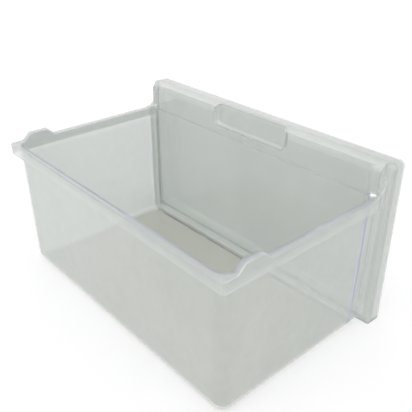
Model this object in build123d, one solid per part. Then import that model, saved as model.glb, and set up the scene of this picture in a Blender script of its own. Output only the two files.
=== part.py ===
from build123d import *
import os

# Clear freezer drawer: an open tub with an inverted-U rim and stop tabs,
# a raised hollow front with a grip recess, and the front panel that closes it.
# The front faces -Y, the floor lies on Z = 0, and the origin is the bottom centre.

# Driving dimensions, in millimetres
wall = 2.2
draft_angle = 0.9

tub_width = 437.0
tub_corner_radius = 16.0
tub_floor_radius = 13.0
rim_height = 194.0
rim_overhang = 9.0
rim_corner_radius = 4.0
rim_edge_radius = 1.6
skirt_height = 15.5

tab_start = 10.0
tab_ramp = 11.0
tab_length = 27.0
tab_height = 10.0
tab_bend_radius = 4.0

frame_distance = 256.0
frame_overhang = 14.0
frame_depth = 7.0
frame_edge_radius = 4.0
frame_bend_radius = 3.0
rise_share = 0.6

front_height = 235.0
front_wall_set = 12.0
front_ledge = 2.0
front_top_radius = 13.0
front_corner_radius = 8.0

grip_width = 131.0
grip_height = 30.0
grip_flare = 7.0
grip_corner_radius = 7.0
grip_edge_radius = 3.0

panel_depth = 22.0
panel_edge_radius = 7.5
tongue_length = 3.5
tongue_thickness = 1.2
tongue_clearance = 0.25

# Places worked out from the driving dimensions
spread = Vector(0, 1, 0).rotate(Axis.X, draft_angle).Z
face_distance = frame_distance + frame_depth + panel_depth
back_y = (face_distance - rim_overhang) / 2
frame_back_y = back_y - frame_distance
seam_y = frame_back_y - frame_depth
rim_back_y = back_y + rim_overhang
frame_width = tub_width + 2 * frame_overhang
rim_width = tub_width + 2 * rim_overhang
rim_spread = rim_height * spread
rise_radius = rise_share * (front_height - rim_height)
front_wall_y = frame_back_y + front_wall_set
upper_wall_y = front_wall_y - front_ledge
floor_front_y = front_wall_y + rim_spread
tall = front_height + 40


def block(x_span, y_low, y_high, z_low, z_high):
    """A box centred on X = 0 between two Y and two Z values."""
    size = (x_span, y_high - y_low, z_high - z_low)
    return Pos(0, (y_low + y_high) / 2, (z_low + z_high) / 2) * Box(*size)


def plan(x_span, y_low, y_high, back_radius, front_radius, z):
    """A horizontal rectangle with its own corner radius at the back and at the front."""
    area = Rectangle(x_span, y_high - y_low)
    if back_radius > 0:
        area = fillet(area.vertices().group_by(Axis.Y)[-1], back_radius)
    if front_radius > 0:
        area = fillet(area.vertices().group_by(Axis.Y)[0], front_radius)
    return Pos(0, (y_low + y_high) / 2, z) * area


def drafted(area, height):
    """A prism that widens upward by the mould's draft."""
    return extrude(area, amount=height, dir=(0, 0, 1), taper=-draft_angle)


def tub_form():
    """The tub's outer form with a square floor edge, run on through the hollow front."""
    area = plan(tub_width, seam_y - 20, back_y, tub_corner_radius, 0, 0)
    return drafted(area, tall)


def tub_outside():
    """The tub's outer form with its floor edge rounded, up to the seam of the front panel."""
    form = tub_form()
    floor_edges = form.faces().sort_by(Axis.Z)[0].edges()
    rounded = floor_edges.sort_by(Axis.Y)[1:]
    form = fillet(rounded, tub_floor_radius)
    return form & block(2 * frame_width, seam_y, rim_back_y + 20, -1, tall)


def tub_inside():
    """The storage space: drafted up to the rim, straight above it."""
    radius = tub_corner_radius - wall
    area = plan(tub_width - 2 * wall, floor_front_y, back_y - wall, radius, radius, wall)
    lower = drafted(area, rim_height - wall)
    lower = fillet(lower.faces().sort_by(Axis.Z)[0].edges(), tub_floor_radius - wall)
    mouth = lower.faces().sort_by(Axis.Z)[-1].bounding_box()
    upper_area = plan(mouth.size.X, upper_wall_y, mouth.max.Y, radius, radius, rim_height)
    return lower + extrude(upper_area, amount=tall, dir=(0, 0, 1))


def front_wall_outside():
    """The tub's own front wall as the hollow front sees it, one wall outside the storage space."""
    radius = tub_corner_radius
    area = plan(tub_width, floor_front_y - wall, back_y, radius, radius, 0)
    lower = drafted(area, rim_height)
    lower = fillet(lower.faces().sort_by(Axis.Z)[0].edges(), tub_floor_radius)
    upper = block(2 * frame_width, upper_wall_y - wall, back_y, rim_height - wall, tall)
    return lower + upper


def rail_profile():
    """Side view of the rim: level, over the stop tab, then rising into the front frame."""
    tab_y = back_y - tab_start
    crest_y = tab_y - tab_ramp
    drop_y = crest_y - tab_length
    foot_y = drop_y - tab_ramp
    crest_z = rim_height + tab_height
    rise_start = (frame_back_y + rise_radius, rim_height)
    rise_end = (frame_back_y, rim_height + rise_radius)
    top = Polyline(
        (rim_back_y, rim_height),
        (tab_y, rim_height),
        (crest_y, crest_z),
        (drop_y, crest_z),
        (foot_y, rim_height),
        rise_start,
    )
    rise = RadiusArc(rise_start, rise_end, rise_radius)
    ends = Polyline(rise_end, (frame_back_y, 0), (rim_back_y, 0), (rim_back_y, rim_height))
    area = make_face([*top.edges(), rise, *ends.edges()])
    bends = [
        corner
        for corner in area.vertices()
        if foot_y - 0.1 < corner.X < tab_y + 0.1 and corner.Y > rim_height - 0.1
    ]
    return fillet(bends, tab_bend_radius)


def across(area, x_span):
    """A side view drawn in Y and Z, extruded across the drawer."""
    side = Plane((0, 0, 0), x_dir=(0, 1, 0), z_dir=(1, 0, 0))
    return extrude(side * area, amount=x_span / 2, both=True)


def rim_outside(profile):
    """The rim's outer form with rounded outer edges."""
    area = plan(rim_width, frame_back_y, rim_back_y, rim_corner_radius, 0, rim_height - skirt_height)
    form = extrude(area, amount=tall, dir=(0, 0, 1)) & across(profile, 2 * rim_width)
    upper = [edge for edge in form.edges() if edge.center().Z > rim_height - 0.1]
    back = [edge for edge in upper if edge.center().Y > rim_back_y - rim_corner_radius]
    sides = [edge for edge in upper if abs(edge.center().X) > rim_width / 2 - 0.1]
    outer = [edge for edge in back + sides if edge.bounding_box().size.Z < rise_radius + 0.1]
    return fillet(ShapeList(set(outer)), rim_edge_radius)


def rim_channel(profile):
    """The groove under the rim, between the tub's wall and the skirt."""
    width = rim_width - 2 * wall
    radius = rim_corner_radius - wall
    foot = rim_height - skirt_height - 1
    area = plan(width, frame_back_y - 1, rim_back_y - wall, radius, 0, foot)
    ring = extrude(area, amount=tall, dir=(0, 0, 1)) - tub_form()
    lowered = offset(profile, amount=-wall, kind=Kind.INTERSECTION)
    return ring & across(lowered, 2 * rim_width)


def frame_form(y_low, y_high, inset):
    """The front's outline as a slab, drawn in by an inset, with rounded top corners."""
    slab = block(frame_width - 2 * inset, y_low, y_high, inset, front_height - inset)
    corners = slab.edges().filter_by(Axis.Y).group_by(Axis.Z)[-1]
    return fillet(corners, front_corner_radius - inset)


def back_frame(y_low, inset):
    """The frame behind the seam, with its back edges rounded."""
    slab = frame_form(y_low, frame_back_y - inset, inset)
    edges = slab.faces().sort_by(Axis.Y)[-1].edges().sort_by(Axis.Z)[1:]
    return fillet(edges, frame_edge_radius - inset)


def frame_bend(form, inset, top):
    """A tub form joined to the frame's back face by a rounded inside corner, below a given height."""
    y = frame_back_y - inset
    deep = inset - 3 * frame_bend_radius
    slab = block(frame_width - 2 * frame_edge_radius, seam_y - 1, y, deep, top)
    both = slab + (form & block(2 * frame_width, seam_y - 1, back_y, -1, top))
    edges = [
        edge
        for edge in both.edges()
        if edge.bounding_box().size.Y < 0.01
        and abs(edge.center().Y - y) < 0.01
        and inset - 0.01 < edge.center().Z < top - 0.1
        and abs(edge.center().X) < frame_width / 2 - frame_edge_radius - 0.1
    ]
    both = fillet(edges, frame_bend_radius + inset)
    return both & block(2 * frame_width, seam_y - 1, frame_back_y + 4 * wall, inset, top)


def crest_form(y_low, inset):
    """The side view of the raised front, with its broad rounded crest."""
    form = block(2 * frame_width, y_low, upper_wall_y - inset, 0, front_height - inset)
    crest = form.edges().filter_by(Axis.X).group_by(Axis.Z)[-1].sort_by(Axis.Y)[-1]
    return fillet(crest, front_top_radius - inset)


def grip_form(grow):
    """The finger recess behind the top edge, open upward and to the back."""
    sections = []
    for y, half_flare in ((frame_back_y - grow, 0), (front_wall_y + wall, grip_flare)):
        width = grip_width + 2 * half_flare + 2 * grow
        height = grip_height + grow + 20
        area = Rectangle(width, height)
        area = fillet(area.vertices().group_by(Axis.Y)[0], grip_corner_radius + grow)
        section = Plane((0, y, front_height + 20 - height / 2), x_dir=(1, 0, 0), z_dir=(0, -1, 0))
        sections.append(section * area)
    return loft(sections, ruled=True)


def grip_roll():
    """What rounds off the edge over which the fingers reach into the grip."""
    y = frame_back_y - grip_edge_radius
    z = front_height - grip_edge_radius
    corner = block(grip_width, y, frame_back_y + 1, z, front_height + 1)
    rod = Pos(0, y, z) * Rot(0, 90, 0) * Cylinder(grip_edge_radius, 2 * grip_width)
    return corner - rod


def front_hollow():
    """The space inside the front, open toward the loose panel."""
    deep = back_frame(seam_y - 1, wall)
    area = plan(tub_width - 2 * wall, seam_y - 1, floor_front_y + 30, 0, 0, wall)
    middle = drafted(area, front_height - 2 * wall)
    middle = fillet(middle.faces().sort_by(Axis.Z)[0].edges().filter_by(Axis.Y), tub_floor_radius - wall)
    below = block(2 * frame_width, seam_y - 1, back_y, 0, rim_height - wall)
    middle &= crest_form(seam_y - 1, wall) + below
    bend = frame_bend(middle, wall, rim_height - wall)
    return deep + ((middle + bend) - front_wall_outside())


def drawer_body():
    """Tub, rim, stop tabs, raised front and frame as one moulding."""
    outside = tub_outside()
    profile = rail_profile()
    rails = across(profile, 2 * rim_width)
    solid = (outside & rails) + rim_outside(profile)
    solid += outside & crest_form(seam_y, 0)
    solid += back_frame(seam_y, 0)
    bend = frame_bend(outside, 0, rim_height - skirt_height + wall)
    solid += bend & block(2 * frame_width, seam_y, back_y, 0, rim_height)
    solid -= tub_inside()
    solid -= rim_channel(profile)
    solid -= front_hollow() - grip_form(wall)
    solid -= grip_form(0)
    solid -= grip_roll()
    return solid


def front_panel():
    """The clear pan with rounded front edges and a tongue that locates it in the frame."""
    face_y = seam_y - panel_depth

    def pan(inset, y_high):
        form = frame_form(face_y + inset, y_high, inset)
        rim = form.faces().sort_by(Axis.Y)[0].edges()
        return fillet(rim, panel_edge_radius - inset)

    shell = pan(0, seam_y) - pan(wall, seam_y + 1)
    gap = wall + tongue_clearance
    ring = frame_form(seam_y - tongue_length, seam_y + tongue_length, gap)
    ring -= frame_form(seam_y - 20, seam_y + 20, gap + tongue_thickness)
    seat = frame_form(seam_y - tongue_length, seam_y, wall - 0.1)
    seat -= frame_form(seam_y - 20, seam_y + 20, gap + tongue_thickness)
    return shell + ring + seat


parts = {
    "drawer_body": drawer_body(),
    "front_panel": front_panel(),
}

os.makedirs("parts", exist_ok=True)
for name, part in parts.items():
    export_step(part, f"parts/{name}.step")
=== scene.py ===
import math

import bpy
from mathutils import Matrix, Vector


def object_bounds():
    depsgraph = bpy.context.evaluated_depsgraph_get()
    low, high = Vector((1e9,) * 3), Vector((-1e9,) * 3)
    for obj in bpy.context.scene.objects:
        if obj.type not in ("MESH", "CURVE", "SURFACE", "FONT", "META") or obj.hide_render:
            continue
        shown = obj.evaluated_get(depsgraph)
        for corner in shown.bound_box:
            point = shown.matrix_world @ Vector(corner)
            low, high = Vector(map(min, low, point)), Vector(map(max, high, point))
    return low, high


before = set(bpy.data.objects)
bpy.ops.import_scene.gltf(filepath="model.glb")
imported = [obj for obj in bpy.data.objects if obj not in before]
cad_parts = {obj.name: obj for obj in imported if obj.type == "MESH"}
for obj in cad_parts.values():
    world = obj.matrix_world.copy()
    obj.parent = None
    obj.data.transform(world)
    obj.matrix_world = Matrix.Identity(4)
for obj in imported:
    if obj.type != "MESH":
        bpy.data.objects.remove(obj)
cad_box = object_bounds()
scene = bpy.context.scene
scene.view_settings.view_transform = "Standard"

# Light is guided a long way inside thin clear walls, so its paths may be long
scene.cycles.max_bounces = 128
scene.cycles.transmission_bounces = 128
scene.cycles.glossy_bounces = 128
scene.cycles.diffuse_bounces = 12
scene.cycles.transparent_max_bounces = 64

# Camera, solved from the photograph's own perspective
camera_place = (-0.54468, 0.44793, 0.51599)
camera_aim = (0.65851, -0.57939, -0.48028)
camera_lens = 50.41
camera_sensor = 36.0

# Spans over which the plastic and its painted shade change, in metres from the faces of the imported
# drawer
(_, front_y, floor_z), (side_x, back_y, top_z) = cad_box
# Height over which the painted shade on the tub's floor fades out
floor_shade_span = (floor_z + 0.0024, floor_z + 0.0070)
# Span below the rim over which the painted shade on one flank fades out upwards
below_rim_span = (top_z - 0.063, top_z - 0.055)
rim_span = (top_z - 0.058, top_z - 0.056)
# Span over which the painted shade on the +X flank fades in
flank_shade_span = (side_x - 0.0325, side_x - 0.0185)
side_span = (side_x - 0.0275, side_x - 0.0195)
back_span = (back_y - 0.027, back_y - 0.017)
frame_span = (front_y + 0.034, front_y + 0.036)
bend_span = (front_y + 0.036, front_y + 0.041)
tub_span = (front_y + 0.0375, front_y + 0.0425)

# Colours of the plastic, with the shade painted on its floor and one flank
tint_deep = (0.775, 0.80, 0.78)
tint_pale = (0.82, 0.84, 0.82)
# Painted shade: the tub's floor darkened, standing in for the shadowed table seen through it
painted_floor_shade = (0.72, 0.71, 0.67)
# Painted shade: one side wall darkened below the rim, as shade falling on that side
painted_flank_shade = (0.92, 0.93, 0.935)
shadow_tone = (0.95, 0.955, 0.95)
edge_tone = (0.40, 0.50, 0.95)
edge_density = 2.5
refraction = 1.42

# How clear the plastic is, and what each zone's haze takes from that
clear_most = 0.77
clear_least = 0.745
wall_haze = 0.155
rim_haze = 0.175
body_frame_haze = 0.32
panel_haze = 0.17

# Surface detail: roughness, scuffs, and the waviness of a moulded face
rough_least = 0.015
rough_most = 0.045
scuff_rough = 0.03
wave_strength = 0.25
wave_height = 0.0012

# Noise: its scale, detail and roughness, and the spans of its values that are used
flow_noise = (7.0, 3.0, 0.5)
haze_noise = (45.0, 3.0, 0.55)
scuff_noise = (420.0, 2.0, 0.6)
wave_noise = (11.0, 1.0, 0.4)
noise_span = (0.30, 0.70)
scuff_span = (0.55, 0.80)
flow_stretch = (1.0, 1.0, 0.35)
body_shift = (0.0, 0.0, 0.0)
panel_shift = (0.37, 0.21, 0.13)

# Surroundings
white = (1, 1, 1, 1)
floor_reach = 12.0
floor_gap = 0.0006
floor_white = (0.92, 0.92, 0.92, 1)
floor_lift = 0.10
sky_fill = 0.7
sky_seen = 1.0
half_bounce = 0.5
whole_span = (0.0, 1.0)

# Lamps: where each shines from, its strength, and its spread in degrees
key_from = (-0.16, 0.40, 1.0)
key_strength = 0.97
key_spread = 40
spark_from = (-0.45, -0.15, 0.6)
spark_strength = 0.18
spark_spread = 10


class Nodes:
    """Shorthand for building one node tree."""

    def __init__(self, tree):
        self.tree = tree
        tree.nodes.clear()

    def add(self, kind, **values):
        node = self.tree.nodes.new(kind)
        for name, value in values.items():
            setattr(node, name, value)
        return node

    def link(self, source, target):
        self.tree.links.new(source, target)

    def mapped(self, vector, socket, value):
        """Coordinates moved or scaled by a mapping node."""
        node = self.add("ShaderNodeMapping")
        node.inputs[socket].default_value = value
        self.link(vector, node.inputs["Vector"])
        return node.outputs["Vector"]

    def noise(self, vector, scale, detail, rough):
        node = self.add("ShaderNodeTexNoise")
        node.inputs["Scale"].default_value = scale
        node.inputs["Detail"].default_value = detail
        node.inputs["Roughness"].default_value = rough
        self.link(vector, node.inputs["Vector"])
        return node.outputs["Fac"]

    def ramp(self, value, low, high, span):
        """A value that goes from low to high over a span of another."""
        node = self.add("ShaderNodeMapRange")
        node.inputs["From Min"].default_value, node.inputs["From Max"].default_value = span
        node.inputs["To Min"].default_value = low
        node.inputs["To Max"].default_value = high
        self.link(value, node.inputs["Value"])
        return node.outputs["Result"]

    def calc(self, operation, first, second=None):
        node = self.add("ShaderNodeMath", operation=operation)
        self.link(first, node.inputs[0])
        if second is not None:
            self.link(second, node.inputs[1])
        return node.outputs["Value"]

    def blend(self, factor, first, second):
        node = self.add("ShaderNodeMix", data_type="RGBA")
        node.inputs["A"].default_value = (*first, 1)
        node.inputs["B"].default_value = (*second, 1)
        self.link(factor, node.inputs["Factor"])
        return node.outputs["Result"]

    def toned(self, colour, factor, tone):
        """A colour multiplied by a tone where the factor is 1."""
        node = self.add("ShaderNodeMix", data_type="RGBA", blend_type="MULTIPLY")
        node.inputs["B"].default_value = (*tone, 1)
        self.link(factor, node.inputs["Factor"])
        self.link(colour, node.inputs["A"])
        return node.outputs["Result"]

    def seen(self, path):
        """1 for rays that come from the eye, from a reflection or through the plastic."""
        plain = self.calc("MAXIMUM", path.outputs["Is Camera Ray"], path.outputs["Is Glossy Ray"])
        return self.calc("MAXIMUM", plain, path.outputs["Is Transmission Ray"])


def tint_and_painted_shade(nodes, drawn, x, z, in_tub):
    """A flow-marked tint, with painted shade on the tub's floor and on one flank below the rim."""
    flow = nodes.noise(drawn, *flow_noise)
    tint = nodes.blend(nodes.ramp(flow, 0.0, 1.0, noise_span), tint_deep, tint_pale)
    # Painted shade on the tub's floor, standing in for the shadowed table under the drawer
    floor_shade_mask = nodes.calc("MULTIPLY", nodes.ramp(z, 1.0, 0.0, floor_shade_span), in_tub)
    tint = nodes.toned(tint, floor_shade_mask, painted_floor_shade)
    # Painted shade on the +X flank below the rim
    below_rim = nodes.ramp(z, 1.0, 0.0, below_rim_span)
    flank_shade_mask = nodes.calc("MULTIPLY", nodes.ramp(x, 0.0, 1.0, flank_shade_span), below_rim)
    return nodes.toned(tint, flank_shade_mask, painted_flank_shade)


def plastic_clarity(nodes, haze, frame_haze, x, y, z, in_tub):
    """How clear the plastic is: less in the outer walls, the rim and the frame, fully so from within."""
    at_back = nodes.ramp(y, 0.0, 1.0, back_span)
    at_side = nodes.ramp(nodes.calc("ABSOLUTE", x), 0.0, 1.0, side_span)
    outer = nodes.calc("MULTIPLY", nodes.calc("MAXIMUM", at_back, at_side), in_tub)
    walls = nodes.calc("MULTIPLY", outer, nodes.ramp(z, wall_haze, rim_haze, rim_span))
    bend = nodes.calc("MULTIPLY", at_side, nodes.ramp(y, frame_haze, 0.0, bend_span))
    front = nodes.ramp(y, frame_haze, 0.0, frame_span)
    cloud = nodes.calc("MAXIMUM", nodes.calc("MAXIMUM", walls, bend), front)
    clear = nodes.calc("SUBTRACT", nodes.ramp(haze, clear_most, clear_least, noise_span), cloud)
    from_within = nodes.add("ShaderNodeNewGeometry").outputs["Backfacing"]
    return nodes.calc("MAXIMUM", clear, from_within)


def clear_plastic(name, shift, frame_haze):
    """Clear moulded plastic: tint with painted shade, zones of haze, faint waviness, fine scuffs and a
    cool edge.
    """
    material = bpy.data.materials.new(name)
    material.use_nodes = True
    nodes = Nodes(material.node_tree)
    where = nodes.add("ShaderNodeTexCoord").outputs["Object"]
    place = nodes.mapped(where, "Location", shift)
    drawn = nodes.mapped(place, "Scale", flow_stretch)
    split = nodes.add("ShaderNodeSeparateXYZ")
    nodes.link(where, split.inputs["Vector"])
    x, y, z = (split.outputs[axis] for axis in "XYZ")
    in_tub = nodes.ramp(y, 0.0, 1.0, tub_span)

    haze = nodes.noise(place, *haze_noise)
    scuff = nodes.noise(drawn, *scuff_noise)
    even = nodes.ramp(haze, rough_least, rough_most, noise_span)
    rough = nodes.calc("ADD", even, nodes.ramp(scuff, 0.0, scuff_rough, scuff_span))

    bump = nodes.add("ShaderNodeBump")
    bump.inputs["Strength"].default_value = wave_strength
    bump.inputs["Distance"].default_value = wave_height
    nodes.link(nodes.noise(drawn, *wave_noise), bump.inputs["Height"])

    glass = nodes.add("ShaderNodeBsdfPrincipled")
    glass.inputs["IOR"].default_value = refraction
    clarity = plastic_clarity(nodes, haze, frame_haze, x, y, z, in_tub)
    nodes.link(clarity, glass.inputs["Transmission Weight"])
    nodes.link(tint_and_painted_shade(nodes, drawn, x, z, in_tub), glass.inputs["Base Color"])
    nodes.link(rough, glass.inputs["Roughness"])
    nodes.link(bump.outputs["Normal"], glass.inputs["Normal"])

    passing = nodes.add("ShaderNodeBsdfTransparent")
    passing.inputs["Color"].default_value = (*shadow_tone, 1)
    surface = nodes.add("ShaderNodeMixShader")
    nodes.link(nodes.add("ShaderNodeLightPath").outputs["Is Shadow Ray"], surface.inputs["Fac"])
    nodes.link(glass.outputs["BSDF"], surface.inputs[1])
    nodes.link(passing.outputs["BSDF"], surface.inputs[2])

    depth = nodes.add("ShaderNodeVolumeAbsorption")
    depth.inputs["Color"].default_value = (*edge_tone, 1)
    depth.inputs["Density"].default_value = edge_density

    out = nodes.add("ShaderNodeOutputMaterial")
    nodes.link(surface.outputs["Shader"], out.inputs["Surface"])
    nodes.link(depth.outputs["Volume"], out.inputs["Volume"])
    return material


def dress(node, material):
    """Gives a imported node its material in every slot."""
    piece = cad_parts[node]
    if not piece.data.materials:
        piece.data.materials.append(material)
    for index in range(len(piece.data.materials)):
        piece.data.materials[index] = material


def floor_paper():
    """White paper, lifted a little to the eye, that keeps the drawer's soft shadow."""
    material = bpy.data.materials.new("floor")
    material.use_nodes = True
    nodes = Nodes(material.node_tree)
    paper = nodes.add("ShaderNodeBsdfDiffuse")
    paper.inputs["Color"].default_value = floor_white
    lift = nodes.add("ShaderNodeEmission")
    lift.inputs["Color"].default_value = white
    seen = nodes.seen(nodes.add("ShaderNodeLightPath"))
    nodes.link(nodes.ramp(seen, 0.0, floor_lift, whole_span), lift.inputs["Strength"])
    both = nodes.add("ShaderNodeAddShader")
    nodes.link(paper.outputs["BSDF"], both.inputs[0])
    nodes.link(lift.outputs["Emission"], both.inputs[1])
    out = nodes.add("ShaderNodeOutputMaterial")
    nodes.link(both.outputs["Shader"], out.inputs["Surface"])
    return material


def studio_world():
    """White surroundings to the eye and in the plastic, a plain fill for everything else."""
    world = bpy.data.worlds.new("studio")
    world.use_nodes = True
    nodes = Nodes(world.node_tree)
    path = nodes.add("ShaderNodeLightPath")
    before_paper = nodes.add("ShaderNodeMath", operation="LESS_THAN")
    before_paper.inputs[1].default_value = half_bounce
    nodes.link(path.outputs["Diffuse Depth"], before_paper.inputs[0])
    direct = nodes.calc("MULTIPLY", nodes.seen(path), before_paper.outputs["Value"])
    sky = nodes.add("ShaderNodeBackground")
    sky.inputs["Color"].default_value = white
    nodes.link(nodes.ramp(direct, sky_fill, sky_seen, whole_span), sky.inputs["Strength"])
    out = nodes.add("ShaderNodeOutputWorld")
    nodes.link(sky.outputs["Background"], out.inputs["Surface"])
    return world


def sun(name, toward, strength, spread):
    """A broad, even lamp from one direction."""
    data = bpy.data.lights.new(name, "SUN")
    data.energy = strength
    data.angle = math.radians(spread)
    lamp = bpy.data.objects.new(name, data)
    lamp.rotation_euler = (-Vector(toward)).to_track_quat("-Z", "Y").to_euler()
    scene.collection.objects.link(lamp)


# The two mouldings
dress("drawer_body", clear_plastic("clear_body", body_shift, body_frame_haze))
dress("front_panel", clear_plastic("clear_panel", panel_shift, panel_haze))

# Camera
camera_data = bpy.data.cameras.new("camera")
camera_data.lens = camera_lens
camera_data.sensor_width = camera_sensor
camera = bpy.data.objects.new("camera", camera_data)
camera.location = camera_place
camera.rotation_euler = Vector(camera_aim).to_track_quat("-Z", "Y").to_euler()
scene.collection.objects.link(camera)
scene.camera = camera

# Floor
floor_mesh = bpy.data.meshes.new("floor")
floor_sides = ((-1, -1), (1, -1), (1, 1), (-1, 1))
floor_corners = [(floor_reach * x, floor_reach * y, 0) for x, y in floor_sides]
floor_mesh.from_pydata(floor_corners, [], [(0, 1, 2, 3)])
floor_mesh.materials.append(floor_paper())
floor = bpy.data.objects.new("floor", floor_mesh)
floor.location.z = -floor_gap
scene.collection.objects.link(floor)

# Light
scene.world = studio_world()
sun("key", key_from, key_strength, key_spread)
sun("spark", spark_from, spark_strength, spark_spread)
